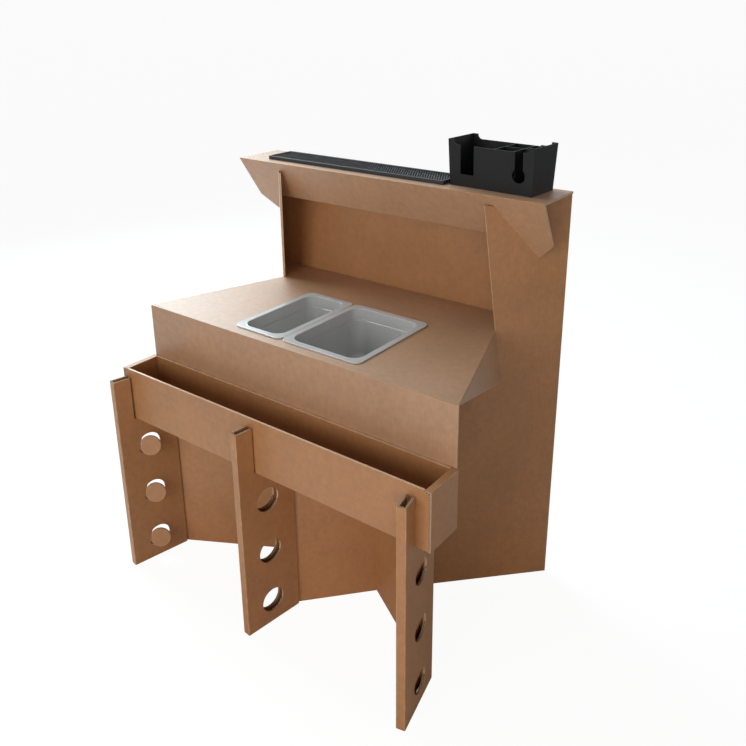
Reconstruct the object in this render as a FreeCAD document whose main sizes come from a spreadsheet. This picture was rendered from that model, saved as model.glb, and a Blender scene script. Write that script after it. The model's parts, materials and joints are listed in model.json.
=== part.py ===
import FreeCAD, Part
import math
import os
import Sketcher

# A knock-down portable bar of folded double-wall board.
# X runs to the user's right along the counter, Y runs back, Z up.
# The origin lies on the floor under the middle of the bounding box.
# Lengths are in millimetres and angles in degrees.
sizes = {
    "board": 6,
    "slip": 1,
    "hair": 0.3,
    "overrun": 5,
    "body_width": 1063,
    "body_depth": 560,
    "bar_height": 1200,
    "valley_half": 161,
    "valley_depth": 184,
    "wall_reach_top": 238,
    "wall_reach_counter": 194,
    "wall_reach_tip": 169,
    "shelf_depth": 173,
    "shelf_side_lap": 0.5,
    "fascia_tilt": 32,
    "fascia_drop": 145,
    "wing_drop": 210,
    "wing_corner_drop": 155,
    "wing_corner_inset": 6,
    "wing_tip_width": 5,
    "slot_start": 34,
    "slot_play": 1.5,
    "counter_height": 816,
    "counter_side_lap": 3.5,
    "flap_drop": 156,
    "flap_tilt": 8,
    "trough_side_lap": 9.5,
    "trough_depth": 112,
    "trough_height": 158,
    "trough_base": 497,
    "trough_gap": 2,
    "end_slip": 0.5,
    "tray_flap": 75,
    "leg_depth": 178,
    "leg_hollow": 12.6,
    "prong_depth": 53,
    "prong_height": 630,
    "leg_splay_angle": 12,
    "middle_splay_angle": 8,
    "middle_shift": 28,
    "right_leg_inset": 44,
    "flange_length": 40,
    "flange_stand_off": 3,
    "hole_diameter": 71,
    "hole_lowest": 70,
    "hole_pitch": 165,
    "hole_setback": 88,
    "left_window_shift": 15,
    "right_tab_shift": 6,
    "tab_diameter": 62,
    "tab_hinge_inset": 3,
    "tab_fold_angle_left": 15,
    "tab_fold_angle_middle": 45,
    "tab_rest_angle_left": 38,
    "tab_rest_angle_middle": 40,
    "tab_rest_angle_right": 16,
    "pan_length": 325,
    "pan_third_width": 176,
    "pan_half_width": 265,
    "pan_depth": 150,
    "pan_rim": 16,
    "pan_rim_height": 4,
    "pan_wall": 2.5,
    "pan_corner": 22,
    "pan_body_corner": 34,
    "pan_bend": 12,
    "pan_ledge_drop": 38,
    "pan_ledge": 2.5,
    "pan_taper": 7,
    "pan_play": 1.5,
    "pan_setback": 31,
    "pan_seam": 41,
    "well_spare": 20,
    "mat_length": 655,
    "mat_depth": 105,
    "mat_height": 11,
    "mat_rim": 6,
    "mat_floor": 4,
    "mat_corner": 5,
    "mat_gap": 11,
    "mat_setback": 38,
    "caddy_length": 252,
    "caddy_depth": 111,
    "caddy_height": 125,
    "caddy_flare": 5,
    "caddy_wall": 2.5,
    "caddy_floor": 3,
    "caddy_napkin_width": 132,
    "caddy_middle_width": 56,
    "caddy_scallop": 14,
    "caddy_scallop_inset": 12,
    "caddy_slot_width": 42,
    "caddy_slot_height": 78,
    "caddy_slot_inset": 34,
    "caddy_keyhole": 38,
    "caddy_keyhole_neck": 24,
    "caddy_keyhole_low": 50,
    "caddy_inset": 307,
    "caddy_setback": 56,
    "caddy_angle": 3,
}


class Size:
    # a value together with the sheet formula that gives it

    def __init__(self, value, text):
        self.value = value
        self.text = text

    def __add__(self, other):
        return combine(self, "+", other)

    def __radd__(self, other):
        return combine(other, "+", self)

    def __sub__(self, other):
        return combine(self, "-", other)

    def __rsub__(self, other):
        return combine(other, "-", self)

    def __mul__(self, other):
        return combine(self, "*", other)

    def __rmul__(self, other):
        return combine(other, "*", self)

    def __truediv__(self, other):
        return combine(self, "/", other)

    def __neg__(self):
        return combine(0, "-", self)


def as_size(thing):
    return thing if isinstance(thing, Size) else Size(thing, str(thing))


def combine(left, sign, right):
    a, b = as_size(left), as_size(right)
    work = {
        "+": lambda: a.value + b.value,
        "-": lambda: a.value - b.value,
        "*": lambda: a.value * b.value,
        "/": lambda: a.value / b.value,
    }
    return Size(work[sign](), f"({a.text} {sign} {b.text})")


def sine(angle):
    return Size(math.sin(math.radians(angle.value)), f"sin({angle.text})")


def cosine(angle):
    return Size(math.cos(math.radians(angle.value)), f"cos({angle.text})")


def tangent(angle):
    return Size(math.tan(math.radians(angle.value)), f"tan({angle.text})")


def root(area):
    return Size(math.sqrt(area.value), f"sqrt({area.text})")


def heading(rise, run):
    # the angle of a line, as plain degrees
    value = math.degrees(math.atan2(rise.value, run.value))
    return Size(value, f"(atan2({rise.text}; {run.text}) / 1 deg)")


doc = FreeCAD.newDocument("portable_bar")
sheet = doc.addObject("Spreadsheet::Sheet", "Sizes")
named = {}
for row, (alias, number) in enumerate(sizes.items(), 1):
    sheet.set(f"A{row}", alias)
    sheet.set(f"B{row}", str(number))
    sheet.setAlias(f"B{row}", alias)
    named[alias] = Size(number, f"Sizes.{alias}")
doc.recompute()


class Named:
    # reads a size of the sheet by its name

    def __getattr__(self, alias):
        return named[alias]


s = Named()
pieces = []


# Places worked out from the driving sizes

counter_width = s.body_width + 2 * s.counter_side_lap
shelf_width = s.body_width + 2 * s.shelf_side_lap
trough_width = s.body_width + 2 * s.trough_side_lap
leg_thickness = s.leg_hollow + 2 * s.board
leg_reach = s.trough_gap + s.trough_depth + s.prong_depth
front_y = (leg_reach + leg_thickness / 2 * sine(s.leg_splay_angle) - s.body_depth) / 2
back_y = front_y + s.body_depth
trough_half = trough_width / 2
leg_front_y = front_y - leg_reach
valley_y = front_y + s.valley_depth
body_half = s.body_width / 2
wall_run = body_half - s.valley_half
wall_rise = s.body_depth - s.valley_depth
wall_angle = heading(wall_rise, wall_run)
wall_length = root(wall_run * wall_run + wall_rise * wall_rise)
counter_low = s.counter_height - s.board
crease_end_x = body_half - s.wall_reach_counter * cosine(wall_angle)
crease_end_y = back_y - s.wall_reach_counter * sine(wall_angle)
crease_run = counter_width / 2 - crease_end_x
crease_rise = crease_end_y - front_y
crease_angle = heading(crease_rise, -crease_run)
crease_length = root(crease_run * crease_run + crease_rise * crease_rise)
shelf_low = s.bar_height - s.board
shelf_front_y = back_y - s.shelf_depth
caddy_start = shelf_width / 2 - s.caddy_inset


# Helpers for the document's objects

def bind(thing, **formulas):
    for name, formula in formulas.items():
        thing.setExpression(name, as_size(formula).text)


def frame(point, turn):
    # a placement formula: a point, then turns about Z, Y and X
    x, y, z = (as_size(value).text for value in point)
    yaw, pitch, roll = (as_size(value).text for value in turn)
    return (
        f"create(<<placement>>; create(<<vector>>; {x}; {y}; {z}); "
        f"create(<<rotation>>; {yaw}; {pitch}; {roll}))"
    )


def place(thing, point, turn=(0, 0, 0), inner=(0, 0, 0), inner_turn=(0, 0, 0)):
    # inner is a shift, then a turn, along the piece's own turned axes
    thing.setExpression("Placement", frame(point, turn) + " * " + frame(inner, inner_turn))
    return thing


def block(name, spans, point, turn=(0, 0, 0), inner=(0, 0, 0)):
    box = doc.addObject("Part::Box", name)
    bind(box, Length=spans[0], Width=spans[1], Height=spans[2])
    return place(box, point, turn, inner)


def rod(name, radius, length, point, turn=(0, 0, 0)):
    cylinder = doc.addObject("Part::Cylinder", name)
    bind(cylinder, Radius=radius, Height=length)
    return place(cylinder, point, turn)


def cut(name, base, *tools):
    made = doc.addObject("Part::Cut", name)
    made.Base = base
    made.Tool = tools[0] if len(tools) == 1 else fuse(name + "_tools", *tools)
    return made


def common(name, base, tool):
    made = doc.addObject("Part::Common", name)
    made.Base = base
    made.Tool = tool
    return made


def fuse(name, *shapes):
    made = doc.addObject("Part::MultiFuse", name)
    made.Shapes = list(shapes)
    made.Refine = True
    return made


def mirror(name, source):
    made = doc.addObject("Part::Mirroring", name)
    made.Source = source
    made.Base = FreeCAD.Vector(0, 0, 0)
    made.Normal = FreeCAD.Vector(1, 0, 0)
    return made


def keep(label, thing):
    thing.Label = label
    pieces.append(thing)
    return thing


def pin(sketch, geometry, end, point):
    # fixes a corner of a sketch at its place from the sketch's origin
    axes = (("DistanceX", -2), ("DistanceY", -1))
    for (kind, axis), value in zip(axes, point):
        if as_size(value).value == 0:
            sketch.addConstraint(Sketcher.Constraint("PointOnObject", geometry, end, axis))
            continue
        rule = Sketcher.Constraint(kind, -1, 1, geometry, end, as_size(value).value)
        index = sketch.addConstraint(rule)
        sketch.setExpression(f"Constraints[{index}]", as_size(value).text)


def draw(sketch, points, closed):
    corners = [FreeCAD.Vector(*(as_size(value).value for value in point), 0) for point in points]
    ends = corners[1:] + corners[:1] if closed else corners[1:]
    for start, end in zip(corners, ends):
        sketch.addGeometry(Part.LineSegment(start, end), False)
    count = len(ends)
    for index in range(count if closed else count - 1):
        joint = Sketcher.Constraint("Coincident", index, 2, (index + 1) % count, 1)
        sketch.addConstraint(joint)
    for index, point in enumerate(points):
        if index < count:
            pin(sketch, index, 1, point)
        else:
            pin(sketch, count - 1, 2, point)


def attach(body, sketch, plane, lift):
    feature = next(f for f in body.Origin.OriginFeatures if f.Role == plane)
    sketch.AttachmentSupport = [(feature, "")]
    sketch.MapMode = "FlatFace"
    if as_size(lift).value:
        sketch.setExpression("AttachmentOffset.Base.z", as_size(lift).text)


def body_sketch(body, name, points, plane="XY_Plane", lift=0):
    sketch = body.newObject("Sketcher::SketchObject", name)
    attach(body, sketch, plane, lift)
    draw(sketch, points, True)
    return sketch


def prism(name, points, height, point=(0, 0, 0), turn=(0, 0, 0), inner=(0, 0, 0)):
    # a flat outline padded upwards, then placed
    body = doc.addObject("PartDesign::Body", name)
    pad = body.newObject("PartDesign::Pad", name + "_pad")
    pad.Profile = body_sketch(body, name + "_outline", points)
    bind(pad, Length=height)
    return place(body, point, turn, inner)


def folded(name, points, length, point=(0, 0, 0), turn=(0, 0, 0)):
    # a sheet folded along a path: the board lies to the right of the path
    path = doc.addObject("Sketcher::SketchObject", name + "_path")
    draw(path, points, False)
    place(path, point, turn)
    section = doc.addObject("Part::Offset2D", name + "_section")
    section.Source = path
    section.Mode = "Skin"
    section.Join = "Intersection"
    section.Fill = True
    bind(section, Value=s.board)
    sheet_of_board = doc.addObject("Part::Extrusion", name)
    sheet_of_board.Base = section
    sheet_of_board.DirMode = "Normal"
    sheet_of_board.Solid = True
    bind(sheet_of_board, LengthFwd=length)
    return sheet_of_board


def round_corners(sketch, half_x, half_y, radius, offset):
    # a rounded rectangle about a centre, held by its arcs' centres
    centre_x, centre_y = offset
    signs = ((1, 1), (-1, 1), (-1, -1), (1, -1))
    lines, arcs = [], []
    for quarter, (right, back) in enumerate(signs):
        x = centre_x + right * (half_x - radius)
        y = centre_y + back * (half_y - radius)
        circle = Part.Circle(FreeCAD.Vector(x.value, y.value, 0), FreeCAD.Vector(0, 0, 1), radius.value)
        start = quarter * math.pi / 2
        arcs.append(sketch.addGeometry(Part.ArcOfCircle(circle, start, start + math.pi / 2), False))
        pin(sketch, arcs[-1], 3, (x, y))
    for quarter, arc in enumerate(arcs):
        start = sketch.getPoint(arc, 2)
        end = sketch.getPoint(arcs[(quarter + 1) % 4], 1)
        lines.append(sketch.addGeometry(Part.LineSegment(start, end), False))
    for quarter, line in enumerate(lines):
        following = arcs[(quarter + 1) % 4]
        sketch.addConstraint(Sketcher.Constraint("Tangent", arcs[quarter], 2, line, 1))
        sketch.addConstraint(Sketcher.Constraint("Tangent", line, 2, following, 1))
    for arc in arcs[1:]:
        sketch.addConstraint(Sketcher.Constraint("Equal", arcs[0], arc))
    index = sketch.addConstraint(Sketcher.Constraint("Radius", arcs[0], radius.value))
    sketch.setExpression(f"Constraints[{index}]", radius.text)


def rounded(body, name, half_x, half_y, radius, lift, offset=(0, 0)):
    sketch = body.newObject("Sketcher::SketchObject", name)
    attach(body, sketch, "XY_Plane", lift)
    round_corners(sketch, half_x, half_y, radius, offset)
    return sketch


def round_edges(body, name, radius, height):
    # rounds every level edge of the body at one height
    doc.recompute()
    base = body.Tip
    chosen = [
        f"Edge{index}"
        for index, edge in enumerate(base.Shape.Edges, 1)
        if all(abs(vertex.Z - height) < s.hair.value / 2 for vertex in edge.Vertexes)
    ]
    fillet = body.newObject("PartDesign::Fillet", name)
    fillet.Base = (base, chosen)
    bind(fillet, Radius=radius)
    return fillet


def loft(body, kind, name, low, high):
    feature = body.newObject("PartDesign::" + kind, name)
    feature.Profile = low
    feature.Sections = [high]
    feature.Ruled = True
    return feature


# Back and side walls

def back_panel():
    inset = s.board / tangent(wall_angle / 2)
    points = (
        (-body_half, back_y),
        (body_half, back_y),
        (body_half - inset, back_y - s.board),
        (inset - body_half, back_y - s.board),
    )
    return prism("rear_board", points, shelf_low)


def wall_frame(tool, inner):
    # along the right wall from its back corner, board thickness to the left
    return place(tool, (body_half, back_y, 0), (180 + wall_angle, 0, 0), inner)


def wall_block(name, spans, inner):
    box = doc.addObject("Part::Box", name)
    bind(box, Length=spans[0], Width=spans[1], Height=spans[2])
    return wall_frame(box, inner)


def fascia_back(height):
    # how far along the wall the fascia's rear face is met at a height
    slope = tangent(s.fascia_tilt) * (s.bar_height - height)
    rear = s.shelf_depth - slope - s.board / cosine(s.fascia_tilt)
    return (rear - s.slot_play) / sine(wall_angle)


def well_tool(name):
    # the room below the counter that the hanging pans need
    spans = (s.pan_third_width + s.pan_half_width + s.slip, s.pan_length, s.pan_depth + s.well_spare)
    corner = (third_x(), front_y + s.pan_setback, s.counter_height - s.pan_depth - s.well_spare)
    return block(name, spans, corner)


def side_wall():
    turned = heading(s.valley_depth - flange_y(right_leg, 1), flange_x(right_leg, 1) - s.valley_half)
    meeting = wall_angle + turned
    tip = wall_length - (s.board + s.slip) / sine(meeting)
    mitre = s.board / tangent(wall_angle / 2)
    plan = (
        (0, 0),
        (tip, 0),
        (tip + s.board / tangent(meeting), -s.board),
        (mitre, -s.board),
    )
    flat = prism("wall_plan", plan, shelf_low)
    slot_height = s.bar_height - s.slot_start * cosine(s.fascia_tilt) - s.slot_play
    lean = (s.wall_reach_top - s.wall_reach_counter) / (slot_height - s.counter_height)
    face = (
        (0, 0),
        (wall_length + s.overrun, 0),
        (wall_length + s.overrun, counter_low),
        (s.wall_reach_counter - s.board * lean, counter_low),
        (s.wall_reach_top, slot_height),
        (fascia_back(slot_height), slot_height),
        (fascia_back(shelf_low), shelf_low),
        (0, shelf_low),
    )
    elevation = prism("wall_face", face, s.board + 2 * s.overrun, turn=(0, 0, 90), inner=(0, 0, -s.overrun))
    board = common("wall_board", flat, elevation)
    place(board, (body_half, back_y, 0), (180 + wall_angle, 0, 0))
    return cut("wall_right", board, well_tool("wall_well"))


# Legs, each a folded sleeve with its front closed.
# One wall holds the round tabs: face is where their fold lies across the leg, swing the side they turn to.
# The other wall has plain round windows.

left_leg = {
    "x": leg_thickness / 2 * cosine(s.leg_splay_angle) - trough_half,
    "yaw": -s.leg_splay_angle,
    "splay": s.leg_splay_angle,
    "wall": 1,
    "face": leg_thickness / 2,
    "swing": 1,
    "fold": s.tab_fold_angle_left,
    "rest": s.tab_rest_angle_left,
    "tab": s.hole_setback,
    "window": s.hole_setback + s.left_window_shift,
}
middle_leg = {
    "x": -s.middle_shift,
    "yaw": -s.middle_splay_angle,
    "splay": s.middle_splay_angle,
    "wall": -1,
    "face": -leg_thickness / 2,
    "swing": -1,
    "fold": s.tab_fold_angle_middle,
    "rest": s.tab_rest_angle_middle,
    "tab": s.hole_setback,
    "window": s.hole_setback,
}
right_leg = {
    "x": trough_half - s.right_leg_inset,
    "yaw": s.leg_splay_angle,
    "splay": s.leg_splay_angle,
    "wall": 1,
    "face": leg_thickness / 2 - s.board,
    "swing": -1,
    "fold": as_size(90),
    "rest": s.tab_rest_angle_right,
    "tab": s.hole_setback + s.right_tab_shift,
    "window": s.hole_setback + s.right_tab_shift,
}


def leg_point(leg, across, along):
    # a plan point in a leg's frame: across to the right, along to the rear
    x = leg["x"] + across * cosine(leg["yaw"]) - along * sine(leg["yaw"])
    y = leg_front_y + across * sine(leg["yaw"]) + along * cosine(leg["yaw"])
    return x, y


def flange_x(leg, side):
    return leg_point(leg, side * s.board, s.leg_depth + s.flange_stand_off)[0]


def flange_y(leg, side):
    return leg_point(leg, side * s.board, s.leg_depth + s.flange_stand_off)[1] - front_y


def tab_frame(leg, height):
    # the middle of a tab's fold, which slants or runs level at the top of its hole
    reach = s.tab_diameter / 2 - s.tab_hinge_inset
    along = leg["tab"] - reach * cosine(leg["fold"])
    x, y = leg_point(leg, leg["face"], along)
    return (x, y, height + reach * sine(leg["fold"])), (leg["yaw"] + 90, leg["fold"], 0)


def tab_tool(name, leg, height):
    # the hole of a wall that keeps its tab: a disc less the stretch behind the fold
    reach = s.tab_diameter / 2 - s.tab_hinge_inset
    disc = rod(name + "_disc", s.hole_diameter / 2, 2 * s.board, (reach, -s.board, 0), (0, 0, -90))
    half = s.hole_diameter / 2
    fold = block(name + "_fold", (s.hole_diameter, 2 * s.board, s.hole_diameter), (0, -s.board, -half))
    hole = common(name, disc, fold)
    place(hole, *tab_frame(leg, height))
    return hole


def hole_tool(name, leg, height):
    # the plain round window of the other wall
    x, y = leg_point(leg, -leg["wall"] * leg_thickness / 2, leg["window"])
    half = s.hole_diameter / 2
    hole = rod(name, half, 2 * s.board, (x, y, height), (leg["yaw"] + 90, 0, -90))
    return place(hole, (x, y, height), (leg["yaw"] + 90, 0, -90), (0, 0, -s.board))


def hole_heights():
    return [s.hole_lowest + step * s.hole_pitch for step in range(3)]


def leg_sleeve(name, leg):
    turn = (leg["yaw"], 0, 0)
    point = (leg["x"], leg_front_y, 0)
    spans = (leg_thickness, s.leg_depth, s.prong_height)
    outer = block(name + "_outer", spans, point, turn, (-leg_thickness / 2, 0, 0))
    spans = (s.leg_hollow, s.leg_depth, s.prong_height + 2 * s.overrun)
    hollow = block(name + "_hollow", spans, point, turn, (-s.leg_hollow / 2, s.board, -s.overrun))
    swing = leg_thickness / 2 * sine(leg["splay"])
    front = (s.prong_depth - s.slip - swing) / cosine(leg["splay"])
    spans = (leg_thickness + 2 * s.overrun, s.leg_depth, s.trough_height)
    corner = (-leg_thickness / 2 - s.overrun, front, s.trough_base)
    seat = block(name + "_seat", spans, point, turn, corner)
    tools = [hollow, seat]
    for step, height in enumerate(hole_heights()):
        tools.append(tab_tool(f"{name}_tab_hole_{step}", leg, height))
        tools.append(hole_tool(f"{name}_plain_hole_{step}", leg, height))
    return keep(name, cut(name + "_sleeve", outer, *tools))


def round_tab(name, leg, height):
    # a disc of board with its fold along a chord at the wall's outer face
    reach = s.tab_diameter / 2 - s.tab_hinge_inset
    inward = 0 if leg["swing"] > 0 else -s.board
    disc = rod(name + "_disc", s.tab_diameter / 2, s.board, (reach, inward, 0), (0, 0, -90))
    half = s.tab_diameter / 2
    fold = block(name + "_fold", (s.tab_diameter, s.board, s.tab_diameter), (s.hair, inward, -half))
    tab = common(name + "_round", disc, fold)
    place(tab, *tab_frame(leg, height), inner_turn=(-leg["swing"] * leg["rest"], 0, 0))
    return keep(name, tab)


# Bay walls, each one sheet folded at its valley, with flanges in the legs

def bay_wall(name, start_leg, start_side, end_leg, end_side, valley_x):
    far = s.leg_depth + s.flange_stand_off
    near = s.leg_depth - s.flange_length
    path = (
        leg_point(end_leg, end_side * s.board, near),
        leg_point(end_leg, end_side * s.board, far),
        (valley_x, valley_y),
        leg_point(start_leg, start_side * s.board, far),
        leg_point(start_leg, start_side * s.board, near),
    )
    return folded(name + "_sheet", path, counter_low)


def double_flange(name, leg, side):
    # the flange folded back on itself to fill the leg's hollow
    spans = (s.board, s.flange_length + s.flange_stand_off, counter_low)
    shift = 0 if side < 0 else -s.board
    inner = (shift, s.leg_depth - s.flange_length, 0)
    return block(name, spans, (leg["x"], leg_front_y, 0), (leg["yaw"], 0, 0), inner)


def finish_bay(name, sheet_of_board, flange):
    both = fuse(name + "_both", sheet_of_board, flange)
    low = s.trough_base - s.slip
    spans = (counter_width, s.leg_depth, s.counter_height)
    reach = s.board + s.slip - s.leg_depth
    front = block(name + "_front", spans, (-counter_width / 2, front_y + reach, low))
    return keep(name, cut(name + "_trimmed", both, front, well_tool(name + "_well")))


def bay_walls():
    left = bay_wall("bay_wall_left", left_leg, 1, middle_leg, -1, -s.valley_half)
    finish_bay("bay_wall_left", left, double_flange("left_flange", left_leg, 1))
    right = bay_wall("bay_wall_right", middle_leg, 1, right_leg, -1, s.valley_half)
    finish_bay("bay_wall_right", right, double_flange("right_flange", right_leg, -1))


# Counter and its side flaps

def fold_tool(name, point, yaw, roll, length):
    # a slab whose lower face is the mitre plane through a fold line
    depth = s.flap_drop
    return block(name, (length + 2 * s.overrun, depth, depth), point, (yaw, 0, roll), (-s.overrun, 0, 0))


def fold_half_angle():
    return (90 + s.flap_tilt) / 2


def counter():
    path = (
        (front_y, s.trough_base + s.slip),
        (front_y, s.counter_height),
        (back_y - s.board - s.slip, s.counter_height),
    )
    half = counter_width / 2
    sheet_of_board = folded("counter_sheet", path, counter_width, (-half, 0, 0), (90, 0, 90))
    reach = s.wall_reach_counter
    middle = s.board / 2
    rear_x = body_half - middle * sine(wall_angle)
    rear_y = back_y + middle * cosine(wall_angle)
    turn_x = rear_x - reach * cosine(wall_angle)
    turn_y = rear_y - reach * sine(wall_angle)
    side = (
        (half, front_y - s.overrun),
        (half, front_y),
        (crease_end_x, crease_end_y),
        (turn_x, turn_y),
        (rear_x, rear_y),
    )
    other = tuple((-x, y) for x, y in reversed(side))
    keep_plan = prism("counter_plan", side + other, s.bar_height)
    shaped = common("counter_shaped", sheet_of_board, keep_plan)
    tools = []
    spans = (reach + s.slip + s.overrun, s.board + 2 * s.slip, s.board + 2 * s.overrun)
    right = wall_block("counter_wall_gap", spans, (-s.overrun, -s.board - s.slip, counter_low - s.overrun))
    point = (crease_end_x, crease_end_y, s.counter_height)
    fold = fold_tool("counter_fold", point, crease_angle - 180, fold_half_angle() - 180, crease_length)
    zone = block(
        "counter_fold_zone",
        (counter_width, s.body_depth, s.body_depth),
        (0, front_y + s.board, counter_low - s.body_depth / 2),
    )
    fold = common("counter_mitre", fold, zone)
    for tool in (right, fold):
        tools.extend((tool, mirror(tool.Name + "_left", tool)))
    for width, low_x in ((s.pan_third_width, third_x()), (s.pan_half_width, half_x())):
        inset = s.pan_rim - s.pan_play
        spans = (width - 2 * inset, s.pan_length - 2 * inset, s.board + 2 * s.overrun)
        corner = (low_x + inset, front_y + s.pan_setback + inset, counter_low - s.overrun)
        tools.append(block("counter_opening", spans, corner))
    return keep("counter_top", cut("counter_cut", shaped, *tools))


def third_x():
    return -s.pan_seam - s.pan_third_width - s.slip / 2


def half_x():
    return s.slip / 2 - s.pan_seam


def counter_flap():
    # its own frame: along the crease, down the flap, thickness inwards
    tip_along = crease_length + flap_tip_along()
    depth = s.flap_drop / cosine(s.flap_tilt)
    board = prism("flap_board", ((0, 0), (crease_length, 0), (tip_along, depth)), s.board)
    point = (counter_width / 2, front_y, s.counter_height)
    place(board, point, (crease_angle, 0, -90 - s.flap_tilt))
    fold = fold_tool("flap_fold", point, crease_angle, fold_half_angle() - 90 - s.flap_tilt, crease_length)
    spans = (counter_width, s.body_depth, s.counter_height)
    corner = (0, front_y + s.board + s.slip - s.body_depth, 0)
    front = block("flap_front", spans, corner)
    spans = (wall_length, s.board + 2 * s.slip, s.bar_height)
    wall = wall_block("flap_wall_gap", spans, (0, -s.board - s.slip, 0))
    return cut("flap_right", board, fold, front, wall)


def flap_tip_along():
    # the wall's slanted front edge carries the flap's rear edge backwards
    step = s.wall_reach_counter - s.wall_reach_tip
    return step * cosine(crease_angle - wall_angle)


# Shelf with its slanted front

def shelf():
    drop_y = s.wing_drop * sine(s.fascia_tilt)
    drop_z = s.wing_drop * cosine(s.fascia_tilt)
    path = (
        (shelf_front_y + drop_y, s.bar_height - drop_z),
        (shelf_front_y, s.bar_height),
        (back_y, s.bar_height),
    )
    half = shelf_width / 2
    sheet_of_board = folded("shelf_sheet", path, shelf_width, (-half, 0, 0), (90, 0, 90))
    side = (
        (half, 0),
        (half - s.wing_corner_inset, s.wing_corner_drop),
        (wall_x(s.wing_drop) + s.wing_tip_width, s.wing_drop),
        (wall_x(s.wing_drop), s.wing_drop),
        (wall_x(s.fascia_drop), s.fascia_drop),
    )
    other = tuple((-x, drop) for x, drop in reversed(side))
    spread = s.board + 2 * s.overrun
    face = prism("fascia_face", side + other, spread)
    point = (0, shelf_front_y, s.bar_height)
    place(face, point, (0, 0, -90 + s.fascia_tilt), (0, 0, -s.overrun))
    spans = (shelf_width, s.shelf_depth, s.board + s.overrun)
    top = block("shelf_zone", spans, (-half, shelf_front_y, shelf_low))
    shaped = common("shelf_shaped", sheet_of_board, fuse("shelf_keep", face, top))
    slot_top = s.bar_height - s.slot_start * cosine(s.fascia_tilt)
    spans = (s.wall_reach_top + s.overrun, s.board + 2 * s.slot_play, slot_top - s.counter_height)
    slot = wall_block("slot_right", spans, (0, -s.board - s.slot_play, s.counter_height))
    return keep("shelf_cover", cut("shelf_cut", shaped, slot, mirror("slot_left", slot)))


def wall_x(drop):
    # where the wall's outer face crosses the fascia at a drop along its slope
    return body_half - (s.shelf_depth - drop * sine(s.fascia_tilt)) / tangent(wall_angle)


# Bottle trough, a tray with a board rolled over each end

def trough():
    rear = front_y - s.trough_gap
    front = rear - s.trough_depth
    top = s.trough_base + s.trough_height
    under = top - s.board - s.end_slip
    half = trough_half - s.board - s.end_slip
    inner_x = trough_half - 3 * s.board - 2 * s.end_slip
    path = ((rear, top), (rear, s.trough_base), (front, s.trough_base), (front, top))
    tray = folded("trough_sheet", path, 2 * half, (-half, 0, 0), (90, 0, 90))
    low = s.trough_base + s.board + s.end_slip
    spans = (s.board, s.tray_flap, under - low)
    front_flap = block("tray_flap_front", spans, (half - s.board, front, low))
    rear_flap = block("tray_flap_rear", spans, (half - s.board, rear - s.tray_flap, low))
    spans = (trough_half, s.trough_depth + 2 * s.overrun, s.board + s.end_slip + s.overrun)
    rebate = block("tray_rebate", spans, (inner_x - s.end_slip, front - s.overrun, under))
    flaps = (front_flap, rear_flap)
    flaps += tuple(mirror(flap.Name + "_left", flap) for flap in flaps)
    tray = fuse("trough_folded", tray, *flaps)
    keep("trough_tray", cut("trough_cut", tray, rebate, mirror("tray_rebate_left", rebate)))
    spans = (s.board, s.trough_depth, s.trough_height)
    outside = block("end_outside", spans, (trough_half - s.board, front, s.trough_base))
    spans = (3 * s.board + 2 * s.end_slip, s.trough_depth, s.board)
    over = block("end_over", spans, (inner_x, front, top - s.board))
    spans = (s.board, s.trough_depth - 2 * s.board - 2 * s.end_slip, top - low)
    inside = block("end_inside", spans, (inner_x, front + s.board + s.end_slip, low))
    end = fuse("end_rolled", outside, over, inside)
    keep("trough_end_right", end)
    keep("trough_end_left", mirror("end_rolled_left", end))


# Food pans

def pan(label, width, low_x):
    body = doc.addObject("PartDesign::Body", label + "_body")
    half_w, half_l = width / 2, s.pan_length / 2
    body_w, body_l = half_w - s.pan_rim, half_l - s.pan_rim
    corner = s.pan_corner
    rim = body.newObject("PartDesign::Pad", label + "_rim")
    rim.Profile = rounded(body, label + "_rim_outline", half_w, half_l, corner, 0)
    bind(rim, Length=s.pan_rim_height)
    ledge_z = s.pan_rim_height - s.pan_ledge_drop
    base_z = s.pan_rim_height - s.pan_depth

    def level(name, inset, height):
        half_sizes = (body_w - inset, body_l - inset)
        return rounded(body, f"{label}_{name}", *half_sizes, s.pan_body_corner, height)

    wall = s.pan_wall
    tilt = s.pan_taper
    steps = (
        ("AdditiveLoft", "upper", 0, 0, 0, ledge_z),
        ("AdditiveLoft", "lower", s.pan_ledge, ledge_z, tilt, base_z),
        ("SubtractiveLoft", "mouth", wall, s.pan_rim_height, wall, ledge_z + wall),
        ("SubtractiveLoft", "hollow", wall + s.pan_ledge, ledge_z + wall, wall + tilt, base_z + wall),
    )
    for kind, name, high_inset, high_z, low_inset, low_z in steps:
        low = level(name + "_low", low_inset, low_z)
        high = level(name + "_high", high_inset, high_z)
        loft(body, kind, f"{label}_{name}", low, high)
    round_edges(body, label + "_floor_inside", s.pan_bend - wall, (base_z + wall).value)
    round_edges(body, label + "_floor_outside", s.pan_bend, base_z.value)
    centre = (low_x + half_w, front_y + s.pan_setback + half_l, s.counter_height)
    return keep(label, place(body, centre))


# Rubber bar mat

def bar_mat():
    body = doc.addObject("PartDesign::Body", "mat_body")
    half_l, half_d = s.mat_length / 2, s.mat_depth / 2
    slab = body.newObject("PartDesign::Pad", "mat_slab")
    slab.Profile = rounded(body, "mat_outline", half_l, half_d, s.mat_corner, 0)
    bind(slab, Length=s.mat_height)
    depth = s.mat_height - s.mat_floor
    field_l, field_d = half_l - s.mat_rim, half_d - s.mat_rim
    field = body.newObject("PartDesign::Pocket", "mat_field")
    field.Profile = rounded(body, "mat_field_outline", field_l, field_d, s.mat_corner / 2, s.mat_height)
    bind(field, Length=depth)
    centre = (caddy_start - s.mat_gap - half_l, shelf_front_y + s.mat_setback + half_d, s.bar_height)
    return keep("bar_mat", place(body, centre))


# Bar caddy

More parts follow.
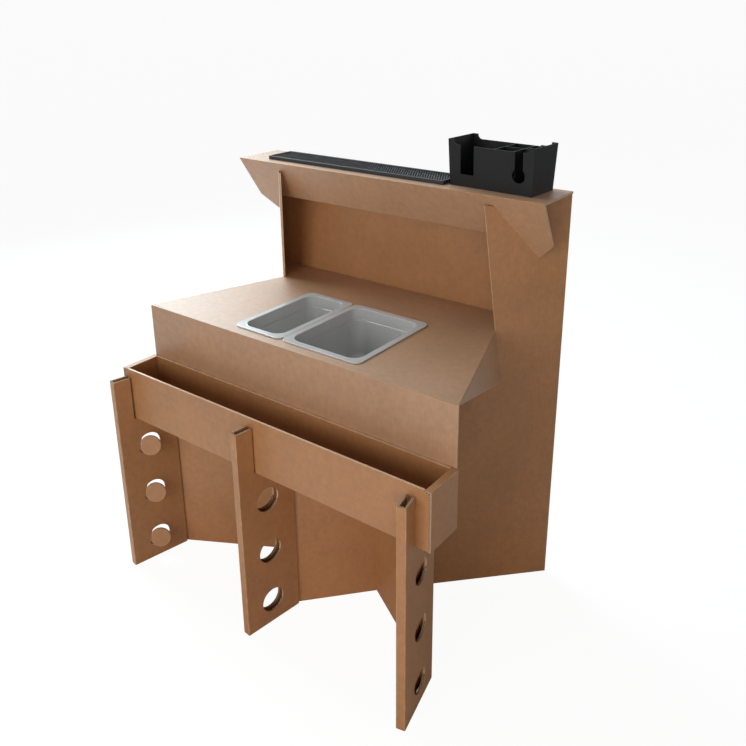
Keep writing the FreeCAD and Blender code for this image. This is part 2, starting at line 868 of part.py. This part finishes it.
def caddy_rooms(flare):
    # the compartments at one level, the outer sides moved out by the flare
    wall = s.caddy_wall
    napkin_end = wall + s.caddy_napkin_width
    middle_end = napkin_end + wall + s.caddy_middle_width
    row_end = (s.caddy_depth - wall) / 2
    columns = ((napkin_end + wall, middle_end), (middle_end + wall, s.caddy_length - wall + flare))
    rows = ((wall - flare, row_end), (row_end + wall, s.caddy_depth - wall + flare))
    rooms = [(wall - flare, napkin_end, rows[0][0], rows[1][1])]
    return rooms + [column + row for column in columns for row in rows]


def caddy():
    body = doc.addObject("PartDesign::Body", "caddy_body")
    flare = s.caddy_flare

    def level(name, room, height):
        low_x, high_x, low_y, high_y = room
        corners = ((low_x, low_y), (high_x, low_y), (high_x, high_y), (low_x, high_y))
        return body_sketch(body, name, corners, lift=height)

    low = level("caddy_low", (0, s.caddy_length, 0, s.caddy_depth), 0)
    spread = (-flare, s.caddy_length + flare, -flare, s.caddy_depth + flare)
    loft(body, "AdditiveLoft", "caddy_shell", low, level("caddy_high", spread, s.caddy_height))
    for index, (room, mouth) in enumerate(zip(caddy_rooms(0), caddy_rooms(flare))):
        low = level(f"caddy_room_low_{index}", room, s.caddy_floor)
        high = level(f"caddy_room_high_{index}", mouth, s.caddy_height)
        loft(body, "SubtractiveLoft", f"caddy_room_{index}", low, high)
    tools = caddy_scallops(flare) + [caddy_slot()] + caddy_keyhole()
    shaped = cut("caddy_cut", body, *tools)
    point = (caddy_start, shelf_front_y + s.caddy_setback, s.bar_height)
    return keep("bar_caddy", place(shaped, point, (-s.caddy_angle, 0, 0)))


def caddy_scallops(flare):
    # the long walls dip between high corners, with a round hollow at each end
    radius = s.caddy_scallop
    start = s.caddy_scallop_inset + radius
    span = s.caddy_length - 2 * start
    through = s.caddy_depth + 2 * flare + 2 * s.overrun
    front = -flare - s.overrun
    tools = [block("scallop", (span, through, s.caddy_height), (start, front, s.caddy_height - radius))]
    for centre in (start, start + span):
        point = (centre, front + through, s.caddy_height)
        tools.append(rod("scallop_end", radius, through, point, (0, 0, 90)))
    return tools


def caddy_slot():
    spans = (s.caddy_slot_width, s.caddy_wall + 2 * s.caddy_flare + s.overrun, s.caddy_height)
    low = s.caddy_height - s.caddy_scallop - s.caddy_slot_height
    return block("napkin_slot", spans, (s.caddy_slot_inset, -s.caddy_flare - s.overrun, low))


def caddy_keyhole():
    # a round-bottomed opening with a narrow neck in the front wall
    centre = s.caddy_length - s.caddy_wall - s.caddy_keyhole
    deep = s.caddy_wall + 2 * s.caddy_flare + s.overrun
    front = -s.caddy_flare - s.overrun
    low = s.caddy_keyhole_low
    ball = rod("keyhole_round", s.caddy_keyhole / 2, deep, (centre, front + deep, low), (0, 0, 90))
    spans = (s.caddy_keyhole_neck, deep, s.caddy_height)
    return [ball, block("keyhole_neck", spans, (centre - s.caddy_keyhole_neck / 2, front, low))]


def build():
    keep("back_panel", back_panel())
    right = keep("side_wall_right", side_wall())
    keep("side_wall_left", mirror("wall_left", right))
    bay_walls()
    legs = {"left": left_leg, "middle": middle_leg, "right": right_leg}
    for side, leg in legs.items():
        leg_sleeve("leg_" + side, leg)
        for level, height in zip(("low", "mid", "top"), hole_heights()):
            round_tab(f"leg_{side}_tab_{level}", leg, height)
    counter()
    flap = keep("counter_flap_right", counter_flap())
    keep("counter_flap_left", mirror("flap_left", flap))
    trough()
    shelf()
    pan("pan_third", s.pan_third_width, third_x())
    pan("pan_half", s.pan_half_width, half_x())
    bar_mat()
    caddy()


def check():
    doc.recompute()
    for thing in doc.Objects:
        faults = {"Invalid", "Error"} & set(thing.State)
        if faults:
            raise RuntimeError(f"{thing.Name} {thing.Label}: {sorted(faults)}")
    for piece in pieces:
        if piece.Shape.isNull() or not piece.Shape.isValid():
            raise RuntimeError(piece.Label + " has no valid shape")


build()
check()
os.makedirs("parts", exist_ok=True)
for piece in pieces:
    piece.Shape.exportStep(f"parts/{piece.Label}.step")
    print(piece.Label, len(piece.Shape.Solids), round(piece.Shape.Volume))
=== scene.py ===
import json
import math

import bmesh
import bpy
from mathutils import Euler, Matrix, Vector


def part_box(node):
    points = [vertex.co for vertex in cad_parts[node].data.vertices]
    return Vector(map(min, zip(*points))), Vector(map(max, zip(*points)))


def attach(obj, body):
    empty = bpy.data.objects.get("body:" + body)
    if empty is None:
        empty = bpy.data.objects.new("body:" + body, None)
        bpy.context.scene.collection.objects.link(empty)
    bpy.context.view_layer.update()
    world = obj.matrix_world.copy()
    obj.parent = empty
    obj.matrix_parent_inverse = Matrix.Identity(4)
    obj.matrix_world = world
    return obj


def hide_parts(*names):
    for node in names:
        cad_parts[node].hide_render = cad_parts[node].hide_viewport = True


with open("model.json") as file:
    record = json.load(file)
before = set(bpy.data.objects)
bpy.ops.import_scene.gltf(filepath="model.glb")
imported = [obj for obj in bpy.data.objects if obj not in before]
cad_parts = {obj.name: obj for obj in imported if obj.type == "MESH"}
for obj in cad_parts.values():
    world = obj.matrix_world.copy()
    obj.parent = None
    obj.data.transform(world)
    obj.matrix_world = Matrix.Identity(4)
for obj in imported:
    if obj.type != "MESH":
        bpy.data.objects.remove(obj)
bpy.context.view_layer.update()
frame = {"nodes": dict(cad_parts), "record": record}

nodes = frame["nodes"]
bodyMembers = frame["record"]["behaviour"]["bodies"]
bodyOf = {node: body for body, members in bodyMembers.items() for node in members}
scene = bpy.context.scene
mm = 0.001
weld = 0.02 * mm  # points closer than this are one


def linear(*levels):  # display colour, 0 to 255, to linear light
    parts = [level / 255 for level in levels]
    return tuple(p / 12.92 if p <= 0.04045 else ((p + 0.055) / 1.055) ** 2.4 for p in parts)


def shade(colour, factor):  # a darker or paler tone of a linear colour
    return tuple(min(1, part * factor) for part in colour)


class Wire:  # a shader output that takes part in plain arithmetic
    def __init__(self, paint, socket):
        self.paint = paint
        self.socket = socket

    def math(self, operation, *others):
        return self.paint.add("ShaderNodeMath", {"operation": operation}, [self, *others])

    def __add__(self, other):
        return self.math("ADD", other)

    def __sub__(self, other):
        return self.math("SUBTRACT", other)

    def __mul__(self, other):
        return self.math("MULTIPLY", other)

    def __rsub__(self, other):
        return self.paint.add("ShaderNodeMath", {"operation": "SUBTRACT"}, [other, self])

    __radd__ = __add__
    __rmul__ = __mul__

    def step(self, low, high):  # smooth ramp from 0 to 1 between two levels
        settings = {"interpolation_type": "SMOOTHSTEP"}
        return self.paint.add("ShaderNodeMapRange", settings, [self, low, high])


class Paint:  # the node tree of one material, or of the world
    def __init__(self, owner):
        owner.use_nodes = True
        self.owner = owner
        self.tree = owner.node_tree
        self.tree.nodes.clear()

    def add(self, kind, settings=None, inputs=None, output=0):
        node = self.tree.nodes.new(kind)
        for key, value in (settings or {}).items():
            setattr(node, key, value)
        pairs = inputs.items() if isinstance(inputs, dict) else enumerate(inputs or [])
        for key, value in pairs:
            if isinstance(value, Wire):
                self.tree.links.new(value.socket, node.inputs[key])
            else:
                node.inputs[key].default_value = value
        return Wire(self, node.outputs[output])

    def place(self):  # the point on the piece, in metres
        return self.add("ShaderNodeTexCoord", output="Object")

    def sheet(self):  # across the flutes and along them, in millimetres
        return self.scaled(self.add("ShaderNodeTexCoord", output="UV"), (1000, 1000, 0))

    def scaled(self, place, factors):
        return self.add("ShaderNodeVectorMath", {"operation": "MULTIPLY"}, [place, factors])

    def noise(self, place, scale, detail=3.0, rough=0.55):
        inputs = {"Vector": place, "Scale": scale, "Detail": detail, "Roughness": rough}
        return self.add("ShaderNodeTexNoise", {}, inputs)

    def mix(self, factor, first, second):  # sockets 6 and 7 and output 2 are the colours
        tones = [tone if isinstance(tone, Wire) else (*tone, 1) for tone in (first, second)]
        inputs = {0: factor, 6: tones[0], 7: tones[1]}
        return self.add("ShaderNodeMix", {"data_type": "RGBA"}, inputs, 2)

    def bump(self, height, distance):
        return self.add("ShaderNodeBump", {}, {"Height": height, "Distance": distance})

    def surface(self, inputs):
        return self.close(self.add("ShaderNodeBsdfPrincipled", {}, inputs))

    def close(self, shader, kind="ShaderNodeOutputMaterial"):
        end = self.tree.nodes.new(kind)
        self.tree.links.new(shader.socket, end.inputs[0])
        return self.owner


linerSettings = {
    "pale": 1.32, "deep": 0.70, "fleck": 0.45, "worn": 1.7,  # tones, as parts of the base colour
    "ribPitch": 7.4,
    "relief": 0.22 * mm,
    "roughness": 0.34,
    "shine": 0.65,
    "sealRoughness": 0.62,
}


def linerPaint(name, base, worn=False, sealed=0.0):
    values = linerSettings
    paint = Paint(bpy.data.materials.new(name))
    sheet = paint.sheet()
    place = paint.place()
    across = paint.add("ShaderNodeSeparateXYZ", {}, [sheet])
    cloud = paint.noise(place, 5, 4, 0.6)
    mottle = paint.noise(place, 60, 4, 0.6)
    fibre = paint.noise(paint.scaled(sheet, (3.2, 0.55, 1)), 1.0, 3, 0.6)
    speck = paint.noise(paint.scaled(sheet, (1.3, 1.1, 1)), 1.0, 2, 0.5)
    ribs = (across * (math.tau / values["ribPitch"])).math("SINE")
    # besides their bump, the ribs shift the colour slightly: painted shade along the washboard
    # ribs
    tone = (cloud - 0.5) * 0.24 + (mottle - 0.5) * 0.28 + (fibre - 0.5) * 0.34 + ribs * 0.020
    dark, light = shade(base, values["deep"]), shade(base, values["pale"])
    colour = paint.mix(tone.step(-0.28, 0.28), dark, light)
    colour = paint.mix(speck.step(0.70, 0.80) * 0.30, colour, shade(base, values["fleck"]))
    if worn:
        scuff = paint.noise(place, 38, 5, 0.7).step(0.42, 0.66)
        colour = paint.mix(scuff * 0.55, colour, shade(base, values["worn"]))
    height = ribs * 0.10 + fibre * 0.55 + mottle * 0.35
    return paint.surface({
        "Base Color": colour,
        "Roughness": fibre * 0.10 + cloud * 0.12 + values["roughness"],
        "Normal": paint.bump(height, values["relief"]),
        "Specular IOR Level": values["shine"],
        "Coat Weight": sealed,
        "Coat Roughness": values["sealRoughness"],
    })


cutSettings = {  # the board's flutes and liners on a cut, in millimetres from its face
    "coarsePitch": 7.4, "coarseSwing": 1.40, "coarseDepth": 4.00,
    "finePitch": 5.6, "fineSwing": 0.70, "fineDepth": 1.30,
    "middleDepth": 2.30,
    "uneven": 0.9,
    # the near-black hollows are painted shade, and the liner lines are darkened past their kraft
    # tone with painted shade
    # the pale tone on the flute crests is partly cleaner cutting and partly painted highlight
    "hollow": 0.12, "liner": 0.40, "torn": 0.66, "cleanAndLit": 1.45,  # parts of the base colour
    "relief": 0.9 * mm,
}


def cutPaint(name, base):
    values = cutSettings
    paint = Paint(bpy.data.materials.new(name))
    sheet = paint.sheet()
    place = paint.place()
    along = paint.add("ShaderNodeSeparateXYZ", {}, [sheet])
    deep = paint.add("ShaderNodeSeparateXYZ", {}, [sheet], 1)
    torn = paint.noise(place, 420, 3, 0.6)
    shifted = along + (paint.noise(place, 90, 2) - 0.5) * values["uneven"]
    coarseWave = (shifted * (math.tau / values["coarsePitch"])).math("SINE")
    fineWave = (shifted * (math.tau / values["finePitch"])).math("SINE")
    coarseLine = coarseWave * values["coarseSwing"] + values["coarseDepth"]
    fineLine = fineWave * values["fineSwing"] + values["fineDepth"]
    coarse = (deep - coarseLine).math("ABSOLUTE")
    fine = (deep - fineLine).math("ABSOLUTE")
    flute = 1 - coarse.math("MINIMUM", fine).step(0.48, 0.88)
    outer = 1 - deep.step(0.30, 0.55)
    inner = deep.step(5.45, 5.70)
    middle = 1 - (deep - values["middleDepth"]).math("ABSOLUTE").step(0.16, 0.36)
    liners = outer.math("MAXIMUM", inner).math("MAXIMUM", middle)
    crest = torn.step(0.3, 0.7) * 0.35 + coarseWave * 0.32 + 0.32  # paler where the cut is cleaner, and paler on the wave's crests and darker in its troughs: painted highlight and painted shade
    paper = paint.mix(crest, shade(base, values["torn"]), shade(base, values["cleanAndLit"]))
    # painted shade in the flute hollows and along the liner lines
    shadedGaps = paint.mix(liners, shade(base, values["hollow"]), shade(base, values["liner"]))
    height = flute.math("MAXIMUM", liners) + torn * 0.25
    return paint.surface({
        "Base Color": paint.mix(flute, shadedGaps, paper),
        "Roughness": 0.9,
        "Specular IOR Level": 0.2,
        "Normal": paint.bump(height, values["relief"]),
    })


kraftLiner = linerPaint("kraft_liner", linear(170, 119, 75))
kraftFold = linerPaint("kraft_fold", linear(175, 127, 85), worn=True)
# the counter and shelf sheets: a real clear coat, and a paler, greyer base colour that is painted
# sheen
kraftSealedPaintedSheen = linerPaint("kraft_sealed_painted_sheen", linear(176, 134, 100), sealed=0.6)
kraftEdge = linerPaint("kraft_edge", linear(212, 176, 142))  # cut along the flutes
kraftCut = cutPaint("kraft_cut", linear(222, 190, 158))  # cut across the flutes
print("stage: board finishes")


def addPiece(name, mesh, finishes, node, crease=35):
    data = bpy.data.meshes.new(name)
    for face in mesh.faces:
        face.smooth = True
    for edge in mesh.edges:  # keeps corners crisp while curves stay smooth
        edge.smooth = len(edge.link_faces) != 2 or edge.calc_face_angle() < math.radians(crease)
    mesh.to_mesh(data)
    mesh.free()
    piece = bpy.data.objects.new(name, data)
    scene.collection.objects.link(piece)
    for finish in finishes:
        data.materials.append(finish)
    weigh = piece.modifiers.new("evenNormals", "WEIGHTED_NORMAL")
    weigh.keep_sharp = True
    weigh.weight = 100
    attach(piece, bodyOf[node])
    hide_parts(node)


def solidMesh(node):  # the CAD solid with its triangles joined into whole faces
    mesh = bmesh.new()
    mesh.from_mesh(nodes[node].data)
    bmesh.ops.remove_doubles(mesh, verts=mesh.verts, dist=weld)
    bmesh.ops.dissolve_limit(mesh, angle_limit=math.radians(1), verts=mesh.verts,
                             edges=mesh.edges)
    return mesh


boardSettings = {
    "foldRound": 2.2 * mm,
    "foldAngle": 8,  # edges sharper than this, in degrees, are folds
    "narrow": 7.6 * mm,  # faces of a smaller mean width are cut edges
    "leaning": 0.35,  # least share of a direction that counts as along it
    "sealed": ("counter", "shelf"),  # starts of the sheets with a clear coat and a paler, greyer base colour, which is painted sheen
}
upright = Vector((0, 0, 1))
rearward = Vector((0, 1, 0))
sideways = Vector((1, 0, 0))
fluteRuns = {
    "back_panel": upright,
    "side_wall": upright,
    "bay_wall": upright,
    "leg": upright,
    "counter": rearward,
    "trough_tray": sideways,
    "trough_end": rearward,
    "shelf": rearward,
}


def fluteRun(node, normal):  # the flutes' direction within a face of that normal
    lead = next(run for start, run in fluteRuns.items() if node.startswith(start))
    flat = lead - normal * lead.dot(normal)
    if flat.length < boardSettings["leaning"]:
        other = upright if lead is not upright else rearward
        flat = other - normal * other.dot(normal)
    return flat.normalized()


def layOut(mesh, node, cutFaces):  # gives each face its place on the sheet, in metres
    layer = mesh.loops.layers.uv.new("sheet")
    openFaces = set()  # cut faces that cross the flutes
    for face in mesh.faces:
        if face in cutFaces:
            rims = [
                (edge.calc_length(), edge.verts[0].co, other.normal.copy())
                for edge in face.edges for other in edge.link_faces
                if other not in cutFaces and abs(other.normal.dot(face.normal)) < 0.95
            ]
            longest = max(rims, key=lambda rim: rim[0]) if rims else (0, face.verts[0].co, upright)
            start, through = longest[1:]
            run = fluteRun(node, through)
            side = through.cross(run)
            if abs(face.normal.dot(run)) > boardSettings["leaning"]:
                openFaces.add(face)
            for corner in face.loops:
                place = corner.vert.co
                corner[layer].uv = (place.dot(side), abs((place - start).dot(through)))
        else:
            run = fluteRun(node, face.normal)
            side = face.normal.cross(run)
            for corner in face.loops:
                corner[layer].uv = (corner.vert.co.dot(side), corner.vert.co.dot(run))
    return openFaces


def narrowFaces(mesh):
    found = []
    for face in mesh.faces:
        around = sum(edge.calc_length() for edge in face.edges)
        if 2 * face.calc_area() / around < boardSettings["narrow"]:
            found.append(face)
    return found


def boardPiece(node):
    mesh = solidMesh(node)
    bmesh.ops.connect_verts_concave(mesh, faces=narrowFaces(mesh))
    mesh.normal_update()
    cutFaces = set(narrowFaces(mesh))
    openFaces = layOut(mesh, node, cutFaces)
    liner = kraftSealedPaintedSheen if node.startswith(boardSettings["sealed"]) else kraftLiner
    finishes = [liner, kraftCut, kraftFold, kraftEdge]
    for face in mesh.faces:
        finish = liner if face not in cutFaces else kraftCut if face in openFaces else kraftEdge
        face.material_index = finishes.index(finish)
    bend = math.radians(boardSettings["foldAngle"])
    folds = [
        edge for edge in mesh.edges
        if len(edge.link_faces) == 2 and edge.calc_face_angle_signed() > bend
        and not any(face in cutFaces for face in edge.link_faces)
    ]
    if folds:
        bmesh.ops.bevel(mesh, geom=folds, offset=boardSettings["foldRound"], offset_type="OFFSET",
                        segments=3, profile=0.5, affect="EDGES", clamp_overlap=True,
                        material=finishes.index(kraftFold))
        bmesh.ops.remove_doubles(mesh, verts=mesh.verts, dist=weld)
        bmesh.ops.dissolve_degenerate(mesh, edges=mesh.edges, dist=weld)
    addPiece(node + "_sheet", mesh, finishes, node)


boardNodes = [node for node in nodes if not node.startswith(("pan_", "bar_"))]
for node in boardNodes:
    boardPiece(node)
print("stage: boards", len(boardNodes))


def roundedLoop(halfX, halfY, radius, steps):  # a rectangle with round corners, anticlockwise
    loop = []
    for quarter, (right, back) in enumerate(((1, 1), (-1, 1), (-1, -1), (1, -1))):
        for step in range(steps + 1):
            angle = (quarter + step / steps) * math.pi / 2
            loop.append((right * (halfX - radius) + radius * math.cos(angle),
                         back * (halfY - radius) + radius * math.sin(angle)))
    return loop


def joinRings(mesh, rings):  # a closed skin over loops of the same number of points
    for lower, upper in zip(rings, rings[1:]):
        for index in range(len(lower)):
            after = (index + 1) % len(lower)
            mesh.faces.new((lower[index], lower[after], upper[after], upper[index]))
    mesh.faces.new(list(reversed(rings[0])))
    mesh.faces.new(rings[-1])


def ringShell(mesh, box, zero, path, steps):  # path of (inset, height, radius) in millimetres
    low, high = box
    centre = ((low.x + high.x) / 2, (low.y + high.y) / 2)
    half = ((high.x - low.x) / 2, (high.y - low.y) / 2)
    rings = []
    for inset, height, radius in path:
        loop = roundedLoop(half[0] - inset * mm, half[1] - inset * mm, radius * mm, steps)
        z = zero + height * mm
        rings.append([mesh.verts.new((centre[0] + x, centre[1] + y, z)) for x, y in loop])
    joinRings(mesh, rings)


panSettings = {
    "wall": 2.5, "rim": 16, "ledge": 2.5, "ledgeDrop": 38, "taper": 7, "bend": 12,
    "corner": 22,  # radius of the rim's corners
    "round": 34,  # radius of the well's corners
    "cornerSteps": 12,
    "lip": (  # section of the lip: inset, height, added to the corner radius
        (1.2, -3.9, -1), (0.2, -3.5, 0), (0, -2.6, 0), (0, -1.4, 0), (0.25, -0.5, 0),
        (0.9, 0, -0.4), (2.2, 0, -1.4), (3.0, -0.35, -2), (4.6, -0.35, -1), (5.4, -0.05, 0),
    ),
    "brim": (  # from the lip to the well: inset past the rim, height, added to the radius
        (-2.6, -0.05, -4), (-1.6, -0.3, -2), (-0.6, -0.3, -0.6), (0.4, 0, 0), (1.4, 0, 0),
    ),
    "colour": linear(204, 204, 203),
    "scuff": linear(226, 228, 229),
}


def frostedPaint():
    paint = Paint(bpy.data.materials.new("frosted_plastic"))
    place = paint.place()
    cloud = paint.noise(place, 9, 3)
    haze = paint.noise(place, 120, 4, 0.6)
    drawn = paint.noise(paint.scaled(place, (420, 420, 30)), 1.0, 3, 0.6)
    scuff = paint.noise(paint.scaled(place, (900, 60, 400)), 1.0, 4, 0.65).step(0.66, 0.80)
    base = panSettings["colour"]
    tone = (cloud - 0.5) * 0.7 + (haze - 0.5) * 0.18 + (drawn - 0.5) * 0.12 + 0.5
    colour = paint.mix(tone, shade(base, 0.86), shade(base, 1.12))
    return paint.surface({
        "Base Color": paint.mix(scuff * 0.15, colour, panSettings["scuff"]),
        "Roughness": haze * 0.10 + scuff * 0.10 + 0.20,
        "IOR": 1.49,
        "Coat Weight": 0.3,
        "Coat Roughness": 0.10,
        "Normal": paint.bump(haze * 0.6 + drawn * 0.4, 0.2 * mm),
    })


def makePan(node, finish):
    values = panSettings
    low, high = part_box(node)
    rim, wall, ledge, taper = (values[key] for key in ("rim", "wall", "ledge", "taper"))
    bend, corner, well = (values[key] for key in ("bend", "corner", "round"))
    base = (low.z - high.z) / mm  # heights count from the rim's top
    floor = base + wall
    shoulder = wall - values["ledgeDrop"]
    within = rim + wall
    lowIn = within + taper
    lowOut = rim + taper
    turn = bend - wall
    path = [(lowOut + bend, base, well - bend)]
    for step in range(1, 5):  # the outside bend at the floor
        angle = step / 5 * math.pi / 2
        left = bend * (1 - math.sin(angle))
        path.append((lowOut + left, base + bend * (1 - math.cos(angle)), well - left))
    path += [
        (lowOut - 0.5, base + bend, well), (rim + ledge, shoulder - wall, well),
        (rim + 0.4, shoulder - wall + 0.6, well), (rim, shoulder, well), (rim, -3.9, well),
    ]
    path += [(inset, height, corner + change) for inset, height, change in values["lip"]]
    path += [(rim + inset, height, well + change) for inset, height, change in values["brim"]]
    path += [
        (within - 0.3, -0.5, well), (within, -1.6, well), (within, shoulder + 1.4, well),
        (within + 0.4, shoulder + 0.3, well), (within + ledge - 0.4, shoulder, well),
        (within + ledge, shoulder - 1.0, well), (lowIn - 0.3, floor + turn, well),
    ]
    for step in range(1, 6):  # the inside bend at the floor
        angle = step / 5 * math.pi / 2
        gone = turn * (1 - math.cos(angle))
        path.append((lowIn + gone, floor + turn * (1 - math.sin(angle)), well - gone))
    mesh = bmesh.new()
    ringShell(mesh, (low, high), high.z, path, values["cornerSteps"])
    addPiece(node + "_moulding", mesh, [finish], node)


frosted = frostedPaint()
for node in ("pan_third", "pan_half"):
    makePan(node, frosted)
print("stage: pans")


matSettings = {
    "rim": 6, "corner": 5, "floor": 4, "cornerSteps": 6,
    "nubPitch": 8.2, "nubRadius": 2.3, "nubHeight": 4.6, "nubSides": 8,
    "nubMargin": 4.5,  # from the rim to the first nubs' centres
    "nub": ((1.0, -0.08), (0.86, 0.55), (0.72, 0.86), (0.40, 1.0)),  # its foot sinks in
    "crease": 60,
    "colour": linear(34, 35, 37),
    "dust": linear(96, 95, 92),
}


def rubberPaint():
    paint = Paint(bpy.data.materials.new("black_rubber"))
    place = paint.place()
    cloud = paint.noise(place, 16, 4, 0.6)
    grain = paint.noise(place, 900, 3, 0.6)
    dust = paint.noise(place, 240, 4, 0.7).step(0.56, 0.74)
    base = matSettings["colour"]
    colour = paint.mix(cloud, shade(base, 0.72), shade(base, 1.25))
    return paint.surface({
        "Base Color": paint.mix(dust * 0.22, colour, matSettings["dust"]),
        "Roughness": cloud * 0.18 + grain * 0.10 + 0.38,
        "Specular IOR Level": 0.5,
        "Normal": paint.bump(grain, 0.25 * mm),
    })


def makeMat():
    values = matSettings
    low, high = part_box("bar_mat")
    tall = (high.z - low.z) / mm
    rim, corner, floor = values["rim"], values["corner"], values["floor"]
    path = [
        (0.3, 0, corner), (0, 0.3, corner), (0, tall - 1.6, corner), (0.4, tall - 0.5, corner),
        (1.5, tall, corner - 0.5), (rim - 1.5, tall, 3.5), (rim - 0.5, tall - 0.5, 2.8),
        (rim, tall - 1.6, 2.5), (rim, floor + 0.8, 2.5), (rim + 0.8, floor, 2.0),
    ]
    mesh = bmesh.new()
    ringShell(mesh, (low, high), low.z, path, values["cornerSteps"])
    pitch, radius, sides = values["nubPitch"] * mm, values["nubRadius"] * mm, values["nubSides"]
    margin = (rim + values["nubMargin"]) * mm
    spanX = (high.x - low.x) / 2 - margin
    spanY = (high.y - low.y) / 2 - margin
    rowGap = pitch * math.sqrt(3) / 2
    rows = int(2 * spanY / rowGap)
    for row in range(rows + 1):
        y = (low.y + high.y) / 2 + (row - rows / 2) * rowGap
        shift = pitch / 2 if row % 2 else 0
        for column in range(int((2 * spanX - shift) / pitch) + 1):
            x = (low.x + high.x) / 2 - spanX + shift + column * pitch
            rings = []
            for share, rise in values["nub"]:
                z = low.z + (floor + values["nubHeight"] * rise) * mm
                turns = [math.tau * side / sides for side in range(sides)]
                rings.append([
                    mesh.verts.new((x + radius * share * math.cos(turn),
                                    y + radius * share * math.sin(turn), z))
                    for turn in turns
                ])
            joinRings(mesh, rings)
    addPiece("bar_mat_rubber", mesh, [rubberPaint()], "bar_mat",
             values["crease"])


makeMat()
print("stage: mat")


caddySettings = {
    "edgeRound": 0.9 * mm,
    "sharp": 35,  # edges sharper than this, in degrees, are rounded
    "crease": 50,
    "colour": linear(15, 16, 18),
    "scratch": linear(90, 90, 90),
}


def caddyPaint():
    paint = Paint(bpy.data.materials.new("black_plastic"))
    place = paint.place()
    cloud = paint.noise(place, 11, 4, 0.6)
    grain = paint.noise(place, 1300, 2, 0.5)
    scratch = paint.noise(paint.scaled(place, (60, 60, 900)), 1.0, 4, 0.7).step(0.66, 0.76)
    dust = paint.noise(place, 300, 3, 0.7).step(0.60, 0.76)
    base = caddySettings["colour"]
    colour = paint.mix(cloud, shade(base, 0.72), shade(base, 1.22))
    return paint.surface({
        "Base Color": paint.mix(scratch * 0.14 + dust * 0.05, colour, caddySettings["scratch"]),
        "Roughness": cloud * 0.14 + grain * 0.12 + scratch * 0.1 + 0.36,
        "Specular IOR Level": 0.3,
        "Normal": paint.bump(grain, 0.3 * mm),
    })


def makeCaddy():
    values = caddySettings
    mesh = solidMesh("bar_caddy")
    sharp = [
        edge for edge in mesh.edges
        if len(edge.link_faces) == 2 and edge.calc_face_angle() > math.radians(values["sharp"])
    ]
    bmesh.ops.bevel(mesh, geom=sharp, offset=values["edgeRound"], offset_type="OFFSET",
                    segments=2, profile=0.5, affect="EDGES", clamp_overlap=True)
    addPiece("bar_caddy_moulding", mesh, [caddyPaint()], "bar_caddy",
             values["crease"])


makeCaddy()
print("stage: caddy")


floorSettings = {
    "half": 60,
    "colour": linear(243, 243, 243),
    "pale": 1.08,  # strength of the plain white that the camera sees
    "share": 0.87,  # how much of it is mixed in over the shadow
}


def makeFloor():
    values = floorSettings
    half = values["half"]
    data = bpy.data.meshes.new("floor")
    corners = [(-half, -half, 0), (half, -half, 0), (half, half, 0), (-half, half, 0)]
    data.from_pydata(corners, [], [(0, 1, 2, 3)])
    floor = bpy.data.objects.new("floor", data)
    scene.collection.objects.link(floor)
    paint = Paint(bpy.data.materials.new("floor_paint"))
    tone = paint.noise(paint.place(), 2, 3)
    plain = paint.add("ShaderNodeBsdfPrincipled", {}, {
        "Base Color": paint.mix(tone, shade(values["colour"], 0.985), values["colour"]),
        "Roughness": 0.9,
        "Specular IOR Level": 0.1,
    })
    pale = paint.add("ShaderNodeEmission", {}, {"Strength": values["pale"]})
    seen = paint.add("ShaderNodeLightPath", output="Is Camera Ray") * values["share"]
    data.materials.append(paint.close(paint.add("ShaderNodeMixShader", {}, [seen, plain, pale])))


makeFloor()


cameraSettings = {
    "place": (1.3361, -1.5505, 1.6603),
    "turn": (71.38, 0, 35.89),
    "lens": 38.066,
    "sensor": 36,
    "shift": (-0.0272, -0.1361),
}


def makeCamera():
    data = bpy.data.cameras.new("camera")
    data.lens = cameraSettings["lens"]
    data.sensor_width = cameraSettings["sensor"]
    data.shift_x, data.shift_y = cameraSettings["shift"]
    data.dof.use_dof = False
    camera = bpy.data.objects.new("camera", data)
    camera.location = cameraSettings["place"]
    camera.rotation_euler = Euler([math.radians(angle) for angle in cameraSettings["turn"]])
    scene.collection.objects.link(camera)
    scene.camera = camera


makeCamera()


lightSettings = {
    "lamps": {
        "key": {"from": (0.2, -3.8, 1.6), "aim": (0, 0, 0.6), "size": 2.2, "power": 57,
                "tint": (1.0, 0.97, 0.95)},
        "top": {"from": (-2.6, 0.6, 2.8), "aim": (0, 0, 0.8), "size": 2.6, "power": 130,
                "tint": (0.84, 0.96, 1.0)},
        "rim": {"from": (-3.2, 1.4, 2.2), "aim": (0, 0, 0.8), "size": 3.0, "power": 21,
                "tint": (0.80, 0.95, 1.0)},
        "fill": {"from": (1.9, -1.9, 0.7), "aim": (0.2, 0, 0.5), "size": 1.2, "power": 11,
                 "tint": (1, 0.94, 0.86)},
    },
    "ambient": 0.12,
    "backdrop": 0.96,
}


def makeLamps():
    for name, values in lightSettings["lamps"].items():
        data = bpy.data.lights.new(name, "AREA")
        data.shape = "SQUARE"
        data.size = values["size"]
        data.energy = values["power"]
        data.color = values["tint"]
        lamp = bpy.data.objects.new(name, data)
        lamp.location = values["from"]
        aim = Vector(values["aim"]) - Vector(values["from"])
        lamp.rotation_euler = aim.to_track_quat("-Z", "Y").to_euler()
        scene.collection.objects.link(lamp)


def makeWorld():  # a pale backdrop that is seen and mirrored but lights little
    world = bpy.data.worlds.new("studio")
    scene.world = world
    paint = Paint(world)
    rays = [
        paint.add("ShaderNodeLightPath", output=kind)
        for kind in ("Is Camera Ray", "Is Glossy Ray", "Is Transmission Ray")
    ]
    seen = rays[0].math("MAXIMUM", rays[1]).math("MAXIMUM", rays[2])
    levels = [seen, 0, 1, lightSettings["ambient"], lightSettings["backdrop"]]
    strength = paint.add("ShaderNodeMapRange", {}, levels)
    shine = paint.add("ShaderNodeBackground", {}, [(1, 1, 1, 1), strength])
    paint.close(shine, "ShaderNodeOutputWorld")


makeLamps()
makeWorld()
scene.view_settings.view_transform = "Standard"
print("stage: camera and light")
